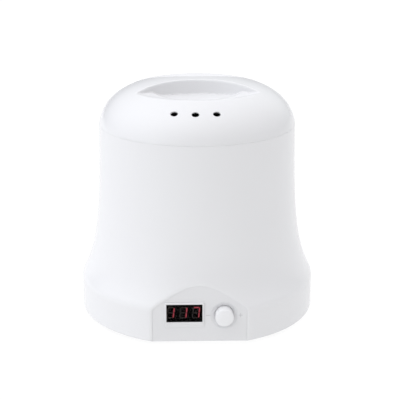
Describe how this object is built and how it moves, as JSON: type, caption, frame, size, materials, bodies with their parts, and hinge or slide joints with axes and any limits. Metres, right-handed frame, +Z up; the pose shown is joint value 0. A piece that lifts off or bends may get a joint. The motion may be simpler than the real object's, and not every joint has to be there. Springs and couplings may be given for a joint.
{
  "type": "paraffin wax bath",
  "caption": "Round electric wax bath: flared housing with a flat control face, heated well, lift-out pot with a bail, and a domed lift-off lid.",
  "frame": {"origin": "centre of the footprint on the worktop, at the underside of the feet", "axes": "+Z up; -Y towards the user, out of the control face; +X to the user's right"},
  "size_m": [0.2, 0.1975, 0.2019],
  "materials": {
    "housing_plastic": "smooth gloss white ABS",
    "panel_plastic": "satin white ABS",
    "knob_plastic": "smooth gloss white ABS",
    "lens_plastic": "smoked clear acrylic",
    "display_plastic": "matt black display body",
    "black_plastic": "fine matt black thermoplastic",
    "circuit_board": "green solder mask",
    "drawn_aluminium": "spun and lightly brushed",
    "steel_parts": "plated steel",
    "heater_steel": "rolled steel, slightly heat tinted",
    "brass_pins": "nickel-free brass",
    "foot_rubber": "matt rubber",
    "blanket_fibre": "needled glass fibre",
    "relay_blue": "moulded case",
    "terminal_green": "moulded case",
    "transformer_yellow": "taped winding in a resin case",
    "capacitor_red": "moulded film capacitor case",
    "wire_brown": "soft insulation",
    "wire_blue": "soft insulation",
    "wire_green": "soft insulation",
    "wire_red": "glass-braid heater lead",
    "wire_grey": "soft insulation"
  },
  "bodies": {
    "base": {"outer_shell": "housing_plastic", "control_panel": "panel_plastic", "bottom_plate": "panel_plastic", "display_lens": "lens_plastic", "led_display": "display_plastic", "display_spacer": "display_plastic", "inlet_socket": "black_plastic", "thermal_cutout": "black_plastic", "control_board": "circuit_board", "power_board": "circuit_board", "heating_well": "drawn_aluminium", "base_screw_1": "steel_parts", "base_screw_2": "steel_parts", "base_screw_3": "steel_parts", "base_screw_4": "steel_parts", "board_screw_1": "steel_parts", "board_screw_2": "steel_parts", "board_screw_3": "steel_parts", "board_screw_4": "steel_parts", "power_screw_1": "steel_parts", "power_screw_2": "steel_parts", "power_screw_3": "steel_parts", "power_screw_4": "steel_parts", "support_post_1": "steel_parts", "support_post_2": "steel_parts", "support_post_3": "steel_parts", "encoder_body": "steel_parts", "clamp_plate": "steel_parts", "temperature_sensor": "steel_parts", "band_heater": "heater_steel", "base_heater": "heater_steel", "inlet_pin_live": "brass_pins", "inlet_pin_neutral": "brass_pins", "inlet_pin_earth": "brass_pins", "foot_1": "foot_rubber", "foot_2": "foot_rubber", "foot_3": "foot_rubber", "foot_4": "foot_rubber", "insulation_sleeve": "blanket_fibre", "relay": "relay_blue", "terminal_block": "terminal_green", "transformer": "transformer_yellow", "filter_capacitor": "capacitor_red", "mains_wire_live": "wire_brown", "mains_wire_neutral": "wire_blue", "earth_wire": "wire_green", "heater_lead_left": "wire_red", "heater_lead_right": "wire_red", "sensor_lead": "wire_grey", "ribbon_cable": "wire_grey"},
    "push_rod": {"encoder_plunger": "black_plastic"},
    "knob": {"encoder_shaft": "steel_parts", "control_knob": "knob_plastic"},
    "pot": {"inner_pot": "drawn_aluminium", "pot_ear_left": "steel_parts", "pot_ear_right": "steel_parts"},
    "bail": {"bail_handle": "steel_parts"},
    "lid": {"lid": "housing_plastic"}
  },
  "joints": [
    {"name": "knob_push", "type": "slide", "parent": "base", "child": "push_rod", "axis": [0, 1, 0], "range_m": [0, 0.0006], "stiffness_N_per_m": 3000, "springref_m": -0.0005},
    {"name": "knob_turn", "type": "hinge", "parent": "push_rod", "child": "knob", "pos_m": [0.02, -0.09, 0.0258], "axis": [0, 1, 0], "continuous": true},
    {"name": "pot_lift", "type": "slide", "parent": "base", "child": "pot", "axis": [0, 0, 1], "range_m": [0, 0.12]},
    {"name": "bail_swing", "type": "hinge", "parent": "pot", "child": "bail", "pos_m": [0, 0, 0.1655], "axis": [1, 0, 0], "range_deg": [0, 184]},
    {"name": "lid_lift", "type": "slide", "parent": "pot", "child": "lid", "axis": [0, 0, 1], "range_m": [0, 0.15]}
  ],
  "couplings": [
    {"joint": "bail_swing", "follows": "lid_lift", "rad_per_m": 10.7}
  ]
}
